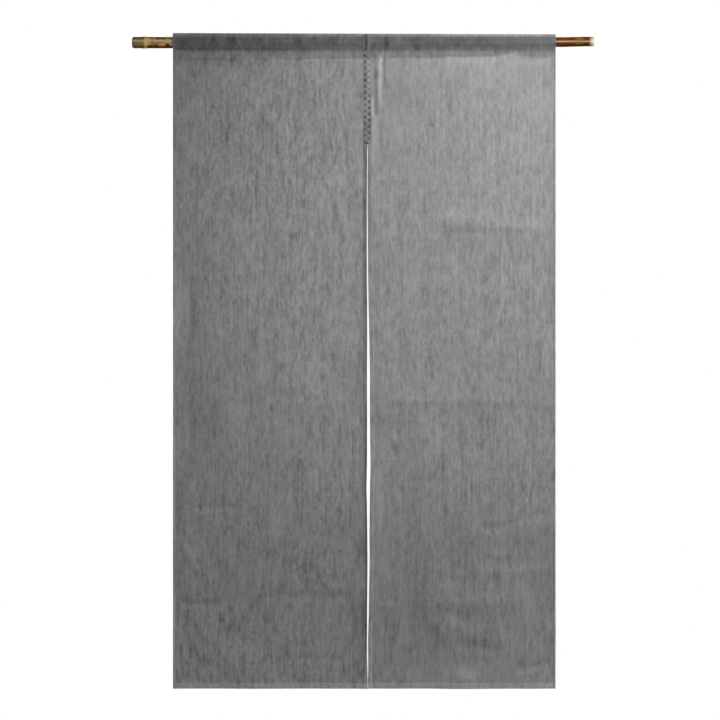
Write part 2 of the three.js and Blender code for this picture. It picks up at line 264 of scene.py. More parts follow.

# Painted light and shade: strips where the cloth is painted lighter or darker, for the lit and shaded sides
# of its tucks, creases, puckers, hems, slit edges and pocket, and for the fall of light across the panels
Mark = namedtuple("Mark", "name gain reach fade line")
LIGHT_AND_SHADE_MARKS = [Mark(*row) for row in (
    ("bright tuck", 0.2, 4.6, 0.12, [
        (40.2, -24), (41.6, -42), (39.4, -58), (40.6, -76), (38.6, -98), (39.4, -128), (40.6, -160)]),
    ("bright top of the tuck", 0.16, 4, 0.4, [(41, -34), (41.3, -50)]),
    ("bright middle of the tuck", 0.1, 4, 0.4, [(39, -50), (39, -66)]),
    ("bright low part of the tuck", 0.1, 4, 0.4, [(39, -92), (39.5, -108)]),
    ("bright end of the tuck", 0.12, 3.5, 0.4, [(43, -158), (45, -174)]),
    ("bright cloth above the tuck's shade", 0.12, 7, 0.4, [(12, -38), (26, -42)]),
    ("shade left of the tuck", -0.2, 4.2, 0.25, [(30.5, -58), (30, -75), (27, -88)]),
    ("low shade left of the tuck", -0.14, 3.2, 0.2, [(31.5, -98), (31, -116), (32.8, -146), (33, -176)]),
    ("shade right of the tuck", -0.22, 2.4, 0.12, [(49.2, -34), (49.6, -70), (48.6, -112)]),
    ("dark nick beside the tuck", -0.22, 2.2, 0.3, [(47, -154), (47.4, -168)]),
    ("bright hem edge", 0.24, 3, 0.2, [(21.6, -124), (22, -170)]),
    ("bright long hem edge", 0.08, 2.8, 0.08, [(23, -150), (23, -360)]),
    ("bright strip beside the hem", 0.12, 7, 0.2, [(27, -160), (28, -245)]),
    ("bright cloth inside the zigzag", 0.22, 4.2, 0.25, [(13.6, -26), (13.4, -118)]),
    ("bright low cloth inside the zigzag", 0.14, 3.4, 0.2, [(10, -110), (9.4, -240)]),
    ("bright strip beside the slit hem", 0.17, 11, 0.25, [(34, -930), (33, -1020), (37, -1270)]),
    ("dark spot beside the sweep", -0.14, 7, 0.4, [(74, -920), (77, -956)]),
    ("small dark dent", -0.16, 3, 0.3, [(149.5, -185), (162, -194.5)]),
    ("bright strip above the top crease", 0.07, 14, 0.3, [(185, -386), (240, -396)]),
    ("dark right needle holes", -0.12, 4.5, 0.2, [(16.1, -146), (16.1, -240)]),
    ("dark left needle holes", -0.04, 3.8, 0.3, [(3.4, -50), (3.4, -240)]),
    ("dark end of the seam", -0.08, 7, 0.3, [(9, -165), (9, -240)]),
    ("curled left slit edge", -0.36, 4.4, 0.06, [
        (7.5, -226), (6.6, -340), (7, -590), (7.4, -760), (6.8, -1020), (8, -1185), (7, -1300),
        (6.4, -1470)]),
    ("dark low slit edge", -0.34, 3.2, 0.25, [
        (7.4, -800), (6.8, -1020), (8, -1185), (7, -1300), (6.6, -1440)]),
    ("dark joint of the pockets", -0.7, 3, 0.1, [(7.6, 20), (7.6, -20)]),
    ("dark fold in the pocket", -0.42, 4.6, 0.2, [(52.5, 16), (52.5, -22)]),
    ("shade under the left pocket", -0.07, 11, 0.15, [(-426, -46), (-180, -46)]),
    ("soft edge of the left allowance", 0.07, 4.6, 0.05, [(-440, -36), (-20, -36)]),
    ("bright cloth below the pocket", 0.04, 24, 0.1, [(-290, -64), (445, -64)]),
    ("bright inner cloth below the pocket", 0.04, 40, 0.2, [(-80, -75), (-82, -175)]),
    ("light low part of the left panel", 0.045, 110, 0.1, [(-410, -1030), (-170, -1110)]),
    ("shaded middle of the right panel", -0.035, 80, 0.2, [(215, -795), (425, -785)]),
    ("light low hem of the right panel", 0.06, 34, 0.2, [(85, -1445), (380, -1445)]),
    ("bright left allowance", 0.04, 7, 0.1, [(-430, -28), (-30, -28)]),
    ("dark left pocket top", -0.2, 4.5, 0.2, [(-434, 17), (-130, 17)]),
    ("bright right pocket top", 0.2, 4.5, 0.2, [(150, 17), (440, 17)]),
    ("bright cloth under the right pocket", 0.07, 10, 0.2, [(180, -42), (290, -40)]),
    ("bright cloth at the slit's head", 0.1, 10, 0.4, [(38, -300), (42, -322)]),
    ("bright upper edge patch", 0.12, 12, 0.4, [(60, -408), (64, -450)]),
    ("dark shoulder", -0.12, 9, 0.4, [(-398, -62), (-386, -84)]),
    ("dark slit edge patch", -0.1, 8, 0.4, [(28, -425), (28, -445)]),
    ("bright outer strip", 0.08, 16, 0.3, [(-420, -545), (-420, -720)]),
    ("bright lower outer strip", 0.08, 12, 0.3, [(-424, -860), (-424, -1000)]),
    ("dark patch beside the outer strip", -0.07, 14, 0.4, [(-340, -800), (-320, -950)]),
    ("bright pucker", 0.15, 7, 0.3, [(292, -40), (306, -41)]),
    ("bright long pucker", 0.18, 6, 0.2, [(322, -37), (330, -36)]),
    ("bright small pucker", 0.18, 5, 0.3, [(344, -24), (352, -25)]),
)]


# Smooth steps, tables and distances


def soft(share):
    share = np.clip(share, 0, 1)
    return share * share * (3 - 2 * share)


def along_table(table, at):
    places, values = (np.array(column, float) for column in zip(*table))
    order = np.argsort(places)
    return np.interp(at, places[order], values[order])


def line_distance(line, x, z):
    """Distance to a line of points, and the share of the line at the nearest place."""
    points = np.array(line, float)
    lengths = np.hypot(*np.diff(points, axis=0).T)
    starts = np.concatenate([[0], np.cumsum(lengths)[:-1]])
    nearest = np.full(np.shape(x), np.inf)
    share = np.zeros(np.shape(x))
    for start, end, length, before in zip(points[:-1], points[1:], lengths, starts):
        step = (end - start) / length
        run = np.clip((x - start[0]) * step[0] + (z - start[1]) * step[1], 0, length)
        distance = np.hypot(x - start[0] - step[0] * run, z - start[1] - step[1] * run)
        closer = distance < nearest
        nearest = np.where(closer, distance, nearest)
        share = np.where(closer, (before + run) / lengths.sum(), share)
    return nearest, share


FADE_MARGIN = 0.02


def band(height, form, x, z):
    """A soft band of the given height along the line of a fold or a mark."""
    distance, share = line_distance(form.line, x, z)
    shape = height * np.exp(-(distance / form.reach) ** 2)
    if form.fade:
        shape = shape * soft((share + FADE_MARGIN) / form.fade) * soft((1 + FADE_MARGIN - share) / form.fade)
    return shape


def ripple(form, at, turn=0):
    return form.height * np.sin(at / form.length + turn)


# New pieces


def start_piece(name, add, **settings):
    """A new piece from one primitive, with everything else deselected."""
    bpy.ops.object.select_all(action="DESELECT")
    add(**settings)
    piece = bpy.context.object
    piece.name = name
    piece.data.name = name
    return piece


# Hanging shape of the cloth


def rod_radius(x):
    share = (x - ROD_LEFT) / (ROD_RIGHT - ROD_LEFT)
    return ROD_LEFT_RADIUS + share * (ROD_RIGHT_RADIUS - ROD_LEFT_RADIUS)


Panel = namedtuple("Panel", "name outer_edge slit_side curl phase")
PANELS = [
    Panel("left_panel", CLOTH_LEFT, -1, 2.5, 0.0),
    Panel("right_panel", CLOTH_RIGHT, 1, -2.0, 2.1),
]


def slit_edge(panel, z):
    middle = along_table([(row.z, row.middle) for row in SLIT], z)
    width = along_table([(row.z, row.width) for row in SLIT], z)
    sewn = z > SLIT_TOP
    centre = np.where(sewn, SEAM_X, middle)
    return centre + panel.slit_side * np.where(sewn, SEAM_GAP, width) / 2


def waviness(panel, x, z):
    total = np.zeros(np.shape(x))
    for index, wave in enumerate(WAVES):
        turn = panel.phase + WAVE_TURN * index
        if wave.wide:
            turn = turn + 2 * math.pi * x / wave.wide
        if wave.tall:
            turn = turn + 2 * math.pi * z / wave.tall
        total = total + wave.height * np.sin(turn)
    return total


def puckers(panel, x, z):
    """Small gathers under the pocket's stitch line and along the seam."""
    under = STITCH_Z - z
    top = soft(under / GATHER_START) * np.exp(-(under / GATHER_REACH) ** 2)
    gathers = ripple(GATHERS[0], x, panel.phase) + ripple(GATHERS[1], x, ripple(GATHER_DRIFT, x))
    from_hem = np.abs(x - SEAM_X) - SLIT_HEM
    beside = soft(from_hem / PULL_START) * np.exp(-(from_hem / PULL_REACH) ** 2)
    sewn = soft((z - SLIT_TOP) / PULL_LENGTH)
    pulls = ripple(PULLS[0], z, panel.phase) + ripple(PULLS[1], z)
    return top * gathers + beside * sewn * pulls


def fold_rise(folds, x, z):
    return sum(band(fold.rise, fold, x, z) for fold in folds)


def drape(panel, x, z, slit_x):
    """How far the hanging cloth lies behind its flat plane."""
    creases = CREASE_DEPTH * fold_rise(CREASES, x, z)
    top_creases = CREASE_DEPTH * fold_rise(TOP_CREASES, x, z)
    rise = fold_rise(MAIN_FOLDS, x, z) + creases + waviness(panel, x, z)
    below = soft((STITCH_Z - z) / FOLD_START)
    near_top = soft((STITCH_Z - z) / TOP_CREASE_START)
    opened = soft((SLIT_TOP - z) / CURL_START)
    curl = np.exp(-((x - slit_x) / CURL_REACH) ** 2) * panel.curl
    gathered = puckers(panel, x, z) + top_creases * (near_top - below)
    return -below * rise - opened * curl - gathered


def hem_share(from_outer, from_slit):
    """1 on the turned hems of the upright edges, 0 on the single cloth."""
    outer = 1 - soft((from_outer - OUTER_HEM) / HEM_STEP)
    slit = 1 - soft((from_slit - SLIT_HEM) / HEM_STEP)
    return np.maximum(outer, slit)


def panel_columns(width):
    """Places of the grid's columns from the outer edge, closer together at hems and seam."""
    outer = [0, 0.8, 2, OUTER_HEM, OUTER_HEM + 0.5 * HEM_STEP, OUTER_HEM + HEM_STEP, 7]
    slit = [0, 0.8, 2.2, 4.2, 6.2, SLIT_HEM, SLIT_HEM + 0.5 * HEM_STEP, SLIT_HEM + HEM_STEP]
    near = np.linspace(SLIT_HEM + HEM_STEP, SEAM_ZONE, round((SEAM_ZONE - SLIT_HEM) / SEAM_PITCH))
    open_width = width - SEAM_ZONE - outer[-1]
    middle = np.linspace(outer[-1], width - SEAM_ZONE, round(open_width / OPEN_PITCH) + 1)
    from_slit = np.concatenate([slit[:-1], near])[::-1]
    return np.concatenate([outer[:-1], middle[:-1], width - from_slit])


def drape_rows():
    """Heights of the hanging rows from the bottom edge up to the stitch line."""
    hem = CLOTH_BOTTOM + np.array([0, 1, 3, 6, 9.4, 11.4, BOTTOM_HEM, 13.4, 14.6, 17])
    top = STITCH_Z - np.array([26, 23, 20, 17, 14, 11, 8.4, 6, 4, 2.4, 1.2, 0])
    count = round((top[0] - hem[-1]) / ROW_PITCH)
    return np.concatenate([hem[:-1], np.linspace(hem[-1], top[0], count + 1)[:-1], top])


def pocket_front(x, gap):
    """Outer face of the pocket from the stitch line up to its top, as depth and height."""
    wrap = rod_radius(x) + WRAP_CLEARANCE
    leave = (-wrap * math.cos(LEAVE_ANGLE), -wrap * math.sin(LEAVE_ANGLE))
    bend = (-gap, leave[1] - (-gap - leave[0]) / math.tan(LEAVE_ANGLE))
    points = []
    for share in np.linspace(0, 1, BEND_POINTS)[1:]:
        rest = 1 - share
        depth = rest * rest * -gap + 2 * rest * share * bend[0] + share * share * leave[0]
        height = rest * rest * STITCH_Z + 2 * rest * share * bend[1] + share * share * leave[1]
        points.append((depth, height))
    for angle in np.linspace(-LEAVE_ANGLE, PRESS_ANGLE, WRAP_POINTS)[1:]:
        points.append((-wrap * math.cos(angle), wrap * math.sin(angle)))
    peak = wrap / math.sin(PRESS_ANGLE)
    shoulder = (-FOLD_ROUNDING * math.sin(PRESS_ANGLE), peak - FOLD_ROUNDING * math.cos(PRESS_ANGLE))
    flank = points[-1]
    for share in (0.35, 0.7, 1):
        points.append(tuple(a + (b - a) * share for a, b in zip(flank, shoulder)))
    for share in (0.25, 0.5):
        rest = 1 - share
        depth = shoulder[0] * (rest * rest - share * share)
        height = (rest * rest + share * share) * shoulder[1] + 2 * rest * share * peak
        points.append((depth, height))
    return np.array(points)


def panel_points(panel):
    """Points of a panel's outer face, its flat places, hems and the rows of each zone."""
    seam_edge = SEAM_X + panel.slit_side * SEAM_GAP / 2
    width = abs(seam_edge - panel.outer_edge)
    columns = panel_columns(width)
    heights = drape_rows()
    from_outer = columns[:, None]
    from_slit = width - from_outer
    hem = hem_share(from_outer, from_slit)

    z = np.broadcast_to(heights, (len(columns), len(heights)))
    slit_x = slit_edge(panel, z)
    flat_x = panel.outer_edge - panel.slit_side * from_outer
    x = flat_x + (slit_x - seam_edge) * soft(from_outer / width)
    depth = drape(panel, x, z, slit_x)
    hanging = np.stack([x, depth - HALF_POCKET - HEM_EXTRA * hem, z], axis=2)

    pocket_x = x[:, -1]
    pocket = []
    swell = np.sin(np.linspace(0, math.pi, LOOSE_POINTS.stop - LOOSE_POINTS.start))
    for column, place in enumerate(pocket_x):
        gap = HALF_POCKET + HEM_EXTRA * hem[column, 0]
        front = pocket_front(place, gap)
        sag = ripple(SAGS[0], place, panel.phase) + ripple(SAGS[1], place)
        dent = DENT_DEPTH * math.exp(-((place - DENT_X) / DENT_REACH) ** 2)
        front[LOOSE_POINTS, 0] += (sag + dent) * swell
        back = front[:-1][::-1] * (-1, 1)
        whole = np.concatenate([front, back, [(gap, STITCH_Z)]])
        pocket.append(np.column_stack([np.full(len(whole), place), whole]))
    pocket = np.array(pocket)

    lower = along_table(ALLOWANCE, pocket_x)
    turned = []
    for row in TURNED_ROWS:
        top = STITCH_Z - row.start
        height = top + (lower - top) * row.share
        level = np.broadcast_to(height[:, None], (len(pocket_x), 1))
        behind = drape(panel, pocket_x[:, None], level, slit_edge(panel, level))[:, 0]
        offset = HALF_POCKET + HEM_EXTRA * hem[:, 0] + row.gap
        turned.append(np.column_stack([pocket_x, behind + offset, height]))
    turned = np.array(turned).transpose(1, 0, 2)

    points = np.concatenate([hanging, pocket, turned], axis=1)
    zones = {"hanging": len(heights), "pocket": pocket.shape[1], "turned": turned.shape[1]}
    return points, columns, hem[:, 0], zones


def grid_sheet(name, points):
    """A flat grid whose corners are carried onto the given points."""
    across, along = points.shape[:2]
    sheet = start_piece(name, bpy.ops.mesh.primitive_grid_add,
                        x_subdivisions=across - 1, y_subdivisions=along - 1, size=1)
    flat = np.empty(len(sheet.data.vertices) * 3)
    sheet.data.vertices.foreach_get("co", flat)
    flat = flat.reshape(-1, 3)
    column = np.rint((flat[:, 0] + 0.5) * (across - 1)).astype(int)
    row = np.rint((flat[:, 1] + 0.5) * (along - 1)).astype(int)
    sheet.data.vertices.foreach_set("co", (points[column, row] * MM).ravel())
    return sheet, column, row


def lay_flat(mesh, across, along):
    """UV map in metres of the flat cut."""
    corners = np.empty(len(mesh.loops), dtype=int)
    mesh.loops.foreach_get("vertex_index", corners)
    places = np.column_stack([across[corners], along[corners]]) * MM
    mesh.uv_layers[0].data.foreach_set("uv", places.ravel())


def make_panel(panel):
    points, columns, hem, zones = panel_points(panel)
    if panel.slit_side > 0:
        points = points[::-1]
        columns = columns[::-1]
        hem = hem[::-1]
    sheet, column, row = grid_sheet(panel.name + "_cloth", points)
    middle = points[len(points) // 2]
    along = np.concatenate([[0], np.cumsum(np.linalg.norm(np.diff(middle, axis=0), axis=1))])
    lay_flat(sheet.data, columns[column] * -panel.slit_side, along[row])

    x, z = points[..., 0], points[..., 2]
    hanging = np.arange(points.shape[1]) < zones["hanging"]
    turned = np.arange(points.shape[1]) >= zones["hanging"] + zones["pocket"]
    bottom = (1 - soft((z - CLOTH_BOTTOM - BOTTOM_HEM) / HEM_STEP)) * hanging
    doubled = np.maximum(np.maximum(hem[:, None], bottom), turned)
    raw_edge = np.cumsum(turned) / zones["turned"] * turned
    single = 1 - HEM_LOSS[panel.name] * hem[:, None] - BOTTOM_HEM_LOSS * bottom
    single = single + RAW_EDGE_GAIN * raw_edge ** 2
    # Painted light on the bottom hem, then the painted light and shade of the marks
    tone = 1 + BOTTOM_HEM_PAINTED_LIGHT * bottom * soft((z - CLOTH_BOTTOM) / BOTTOM_GAIN_START)
    for mark in LIGHT_AND_SHADE_MARKS:
        tone += band(mark.gain, mark, x, z)
    # Painted light and shade on the pocket's face
    face = (1 - CLEAR * single) * tone * along_table(POCKET_PAINTED_LIGHT, z)
    passes = CLEAR * single * tone * along_table(POCKET_PASSES, z)
    near_seam = soft((DIMPLES_REACH - np.abs(x - SEAM_X)) / DIMPLES_FADE)
    sewn = soft((z - SLIT_TOP) / DIMPLES_FADE)
    # The tone brings the painted light and shade to the material, with the brightness of the hems' layers
    layers = {
        "dimples": along_table(DIMPLES[panel.name], z) * near_seam * sewn * hanging,
        "contrast": along_table(CONTRAST[panel.name], z),
        "passes": passes,
        "tone": face / (1 - np.minimum(passes, MOST_CLEAR)),
    }
    for name, values in layers.items():
        layer = sheet.data.attributes.new(name, "FLOAT", "POINT")
        layer.data.foreach_set("value", values[column, row].astype(np.float32))

    group = sheet.vertex_groups.new(name="thickness")
    weights = doubled[column, row]
    for level in np.unique(np.round(weights, 2)):
        chosen = np.nonzero(np.round(weights, 2) == level)[0]
        group.add(chosen.tolist(), float(level), "REPLACE")
    thicken = sheet.modifiers.new("Cloth thickness", "SOLIDIFY")
    thicken.thickness = (LAYER + HEM_EXTRA) * MM
    thicken.offset = -1
    thicken.vertex_group = "thickness"
    thicken.thickness_vertex_group = LAYER / (LAYER + HEM_EXTRA)
    bpy.ops.object.modifier_apply(modifier=thicken.name)
    bpy.ops.object.mode_set(mode="EDIT")
    bpy.ops.mesh.select_all(action="DESELECT")
    bpy.ops.mesh.edges_select_sharp(sharpness=SHARP_EDGE)
    bpy.ops.mesh.bevel(offset=EDGE_ROUNDING * MM, segments=2, affect="EDGES")
    bpy.ops.object.mode_set(mode="OBJECT")
    bpy.ops.object.shade_smooth_by_angle(angle=SMOOTH_BELOW)
    sheet.data.materials.clear()
    sheet.data.materials.append(hemp_cloth)
    return sheet


# Materials


class Signal:
    """A socket of a material's nodes, worked with as a number."""

    def __init__(self, finish, socket):
        self.finish = finish
        self.socket = socket

    def math(self, operation, *values):
        return self.finish.node("ShaderNodeMath", {"operation": operation}, dict(enumerate(values)))

    def __add__(self, other):
        return self.math("ADD", self, other)

    def __radd__(self, other):
        return self.math("ADD", other, self)

    def __sub__(self, other):
        return self.math("SUBTRACT", self, other)

    def __rsub__(self, other):
        return self.math("SUBTRACT", other, self)

    def __mul__(self, other):
        return self.math("MULTIPLY", self, other)

    def __rmul__(self, other):
        return self.math("MULTIPLY", other, self)

    def __truediv__(self, other):
        return self.math("DIVIDE", self, other)

    def __pow__(self, other):
        return self.math("POWER", self, other)

    def absolute(self):
        return self.math("ABSOLUTE", self)

    def fraction(self):
        return self.math("FRACT", self)

    def clamped(self):
        return self.math("MINIMUM", self.math("MAXIMUM", self, 0), 1)


class Finish:
    """The nodes of a material or of the surround, built by one method."""

    def __init__(self, owner):
        self.owner = owner
        owner.use_nodes = True
        self.tree = owner.node_tree
        self.tree.nodes.clear()

    def node(self, kind, settings=None, values=None, output=0):
        made = self.tree.nodes.new(kind)
        for key, setting in (settings or {}).items():
            if key == "stops":
                self.set_stops(made.color_ramp, setting)
            else:
                setattr(made, key, setting)
        for key, value in (values or {}).items():
            if isinstance(value, Signal):
                self.tree.links.new(value.socket, made.inputs[key])
            else:
                made.inputs[key].default_value = value
        return Signal(self, made.outputs[output]) if made.outputs else made

    def set_stops(self, ramp, stops):
        for place, colour in stops[1:-1]:
            ramp.elements.new(place).color = (*colour, 1)
        for end in (0, -1):
            ramp.elements[end].position = stops[end][0]
            ramp.elements[end].color = (*stops[end][1], 1)

    def mix(self, factor, first, second, blend="MIX"):
        settings = {"data_type": "RGBA", "blend_type": blend, "clamp_factor": True}
        return self.node("ShaderNodeMix", settings, {0: factor, 6: first, 7: second}, output=2)

    def noise(self, vector, scale, detail=2, roughness=0.5):
        scaled = {"Vector": vector, "Scale": scale}
        stretched = self.node("ShaderNodeMapping", {"vector_type": "POINT"}, scaled)
        values = {"Vector": stretched, "Scale": 1, "Detail": detail, "Roughness": roughness}
        return self.node("ShaderNodeTexNoise", {"noise_dimensions": "3D"}, values)

    def grey(self, value):
        """A neutral colour of the given brightness."""
        return self.node("ShaderNodeCombineColor", None, {0: value, 1: value, 2: value})

    def ramp(self, factor, stops):
        return self.node("ShaderNodeValToRGB", {"stops": stops}, {"Fac": factor})

    def bump(self, height, strength, distance):
        values = {"Strength": strength, "Distance": distance * MM, "Height": height}
        return self.node("ShaderNodeBump", None, values)

    def attribute(self, name):
        return self.node("ShaderNodeAttribute", {"attribute_name": name}, output="Fac")

    def place(self):
        return self.node("ShaderNodeTexCoord", output="Object")

    def axis(self, place, letter):
        """One coordinate of a place, in millimetres."""
        return self.node("ShaderNodeSeparateXYZ", None, {0: place}, output=letter) * (1 / MM)

    def done(self, surface):
        self.node("ShaderNodeOutputMaterial", None, {"Surface": surface})
        return self.owner


def cycles_per_metre(wide, tall, deep=1000):
    """Scale of a pattern whose cells are so many millimetres wide and tall."""
    return (1 / (wide * MM), 1 / (tall * MM), 1 / (deep * MM))


# Brightness of the cloth's face where it lets no light through
BASE = 0.23

# Noises of the heathered yarns: width and height of their cells, detail, and share in the cloth's colour
Heather = namedtuple("Heather", "name wide tall detail share")
HEATHER = [Heather(*row) for row in (
    ("slubs", 7.6, 25, 3, 0.74),
    ("threads", 14, 60, 1, 0.34),
    ("yarns", 3.6, 170, 2, 0.34),
    ("fibres", 2.6, 11, 1, 0.4),
    ("wefts", 24, 2.4, 1, 0.16),
    ("clouds", 28, 110, 2, 0.3),
)]
FACE_HEATHER = 2.1
GLOW_HEATHER = 0.75

# Joining stitch: its two rows of needle holes, their highest one and half their pitch, and its legs
ZIGZAG_LEFT = 4.7
ZIGZAG_RIGHT = 14.8
ZIGZAG_STEP = 7.04
ZIGZAG_TOP = -31.5
ZIGZAG_LEGS = int((ZIGZAG_TOP - SLIT_TOP - 4) / ZIGZAG_STEP)
ZIGZAG_RADIUS = 0.5
RIGHT_HOLES_TOP = -130
# Width and height of the painted shade round each needle hole
DIMPLE_WIDE = 5.2
DIMPLE_TALL = 6.4


def needle_row(beside, above):
    """Painted shade in the soft dimples of a row of needle holes, from the distances to its line and to its
    highest hole.
    """
    pitch = 2 * ZIGZAG_STEP
    across = beside * (1 / DIMPLE_WIDE)
    along = ((above / pitch + 0.5).fraction() - 0.5) * (pitch / DIMPLE_TALL)
    return (1 - across * across - along * along).clamped() ** 2


def make_hemp():
    finish = Finish(bpy.data.materials.new("hemp_cloth"))
    flat = finish.node("ShaderNodeUVMap", {"uv_map": "UVMap"})
    noises = {}
    heather = 0
    for row in HEATHER:
        noises[row.name] = finish.noise(flat, cycles_per_metre(row.wide, row.tall), row.detail) - 0.5
        heather = noises[row.name] * row.share + heather
    heather = heather * finish.attribute("contrast")

    place = finish.place()
    across = finish.axis(place, "X")
    height = finish.axis(place, "Z")
    # Painted shade in the dimples round the needle holes
    holes = needle_row(across - ZIGZAG_LEFT, height - ZIGZAG_TOP)
    holes = holes + needle_row(across - ZIGZAG_RIGHT, height - (ZIGZAG_TOP - ZIGZAG_STEP))
    sewn = 1 - finish.attribute("dimples") * holes

    # The tone attribute holds the painted light and shade of the marks, the pocket and the bottom hem
    base = finish.grey((1 + FACE_HEATHER * heather) * sewn * finish.attribute("tone") * BASE)
    weave = noises["fibres"] * 0.8 + noises["slubs"] * 0.9
    for direction, scale in (("X", 100), ("Y", 90)):
        wave = finish.node("ShaderNodeTexWave", {"wave_type": "BANDS", "bands_direction": direction}, {
            "Vector": flat, "Scale": scale, "Distortion": 1.2, "Detail": 1}, output="Fac")
        weave = weave + wave * 0.5
    bump = finish.bump(weave, 0.35, 0.4)
    cloth = finish.node("ShaderNodeBsdfPrincipled", None, {
        "Base Color": base, "Roughness": 0.92, "Specular IOR Level": 0.22,
        "Sheen Weight": 0.06, "Sheen Roughness": 0.5, "Normal": bump})
    glow = finish.node("ShaderNodeBsdfTranslucent", None, {"Color": (0.92, 0.92, 0.92, 1), "Normal": bump})
    through = ((1 + GLOW_HEATHER * heather) * sewn * finish.attribute("passes")).clamped()
    return finish.done(finish.node("ShaderNodeMixShader", None, {0: through, 1: cloth, 2: glow}))


def make_thread(name, dark, pale):
    finish = Finish(bpy.data.materials.new(name))
    ply = finish.noise(finish.place(), cycles_per_metre(1.2, 1.2, 0.7))
    colour = finish.ramp(ply, [(0.3, (dark,) * 3), (0.7, (pale,) * 3)])
    bump = finish.bump(ply, 0.5, 0.3)
    thread = finish.node("ShaderNodeBsdfPrincipled", None, {
        "Base Color": colour, "Roughness": 0.8, "Specular IOR Level": 0.3, "Normal": bump})
    return finish.done(thread)


hemp_cloth = make_hemp()
sewing_thread = make_thread("sewing_thread", 0.045, 0.12)
cloth_thread = make_thread("cloth_thread", 0.17, 0.27)
joining_thread = make_thread("joining_thread", 0.12, 0.22)


# Colours of the culm: its aged left part, its honey right part, and what covers them, among them painted
# shade on its top and underside and painted highlight streaks along it
AGED = [(0.3, (0.12, 0.042, 0.008)), (0.4, (0.26, 0.19, 0.06)), (0.48, (0.5, 0.35, 0.12)),
        (0.58, (0.76, 0.47, 0.15)), (0.7, (0.82, 0.58, 0.3))]
HONEY = [(0.3, (0.055, 0.011, 0.0006)), (0.5, (0.1, 0.027, 0.0015)), (0.7, (0.19, 0.07, 0.008))]
# Painted shade on the culm's top and underside, part of it the culm's own olive and red-brown
OLIVE_TOP_SHADE = (0.1, 0.085, 0.03, 1)
RED_UNDERSIDE_SHADE = (0.12, 0.032, 0.003, 1)
# Painted highlights along the culm's left and right parts
LEFT_HIGHLIGHT_PAINT = (0.78, 0.58, 0.34, 1)
RIGHT_HIGHLIGHT_PAINT = (0.62, 0.4, 0.21, 1)
STUB = (0.22, 0.165, 0.07, 1)
LEAF_SCAR = (1.0, 0.6, 0.22, 1)
BARE_END = (0.78, 0.62, 0.42, 1)

# Where along the culm its honey part comes in, and where its stub, leaf scar and bare end lie
HONEY_FROM = -100
HONEY_FULL = 150
STUB_END = -500.5
SCAR_X = -496
BARE_FROM = 516.5

# Stains on the culm, and on the left stub a painted highlight and painted shade under it: middle, radius, how
# strongly they cover, and colour
Spot = namedtuple("Spot", "place radius strength colour")
SPOTS = [Spot(*row) for row in (
    ((495, -8, 6), 14, 0.6, (0.3, 0.15, 0.025)),
    # Painted highlight on the stub
    ((-515, -10, 3), 8, 0.5, (0.4, 0.36, 0.22)),
    # Painted shade under the stub
    ((-519, -7, -10), 7, 0.7, (0.03, 0.02, 0.006)),
    ((-510, -5, -12), 8, 0.7, (0.12, 0.008, 0.006)),
    ((-490, -11, 2), 8, 0.75, (0.9, 0.58, 0.2)),
    ((-480, -12, -3), 7, 0.8, (0.2, 0.2, 0.06)),
    ((-475, -11, 4), 9, 0.6, (0.66, 0.42, 0.26)),
    ((-468, -9, 8), 8, 0.8, (0.1, 0.05, 0.015)),
    ((-471, -9, -9), 8, 0.7, (0.11, 0.024, 0.004)),
    ((-468, -11, -6.5), 4.5, 0.85, (0.5, 0.24, 0.1)),
    ((-460, -9, -9), 5, 0.6, (0.12, 0.03, 0.006)),
    ((-455, -9, 8), 8, 0.85, (0.06, 0.07, 0.03)),
    ((-455, -12, -3), 8, 0.75, (0.6, 0.4, 0.11)),
    ((-447, -9, -8), 7, 0.8, (0.08, 0.025, 0.008)),
    ((-448, -11, 3), 8, 0.6, (0.62, 0.4, 0.22)),
    ((-437, -12, -2), 8, 0.6, (0.42, 0.34, 0.13)),
)]
SPOT_RAGGED = 12 * MM
SPOT_GRAIN = 3 * MM


def streak(height, half_width):
    """1 along a level line on the culm, falling to 0 at the half-width: the mask of a painted highlight."""
    full = 1.2
    return (full - height.absolute() * (full / half_width)).clamped()


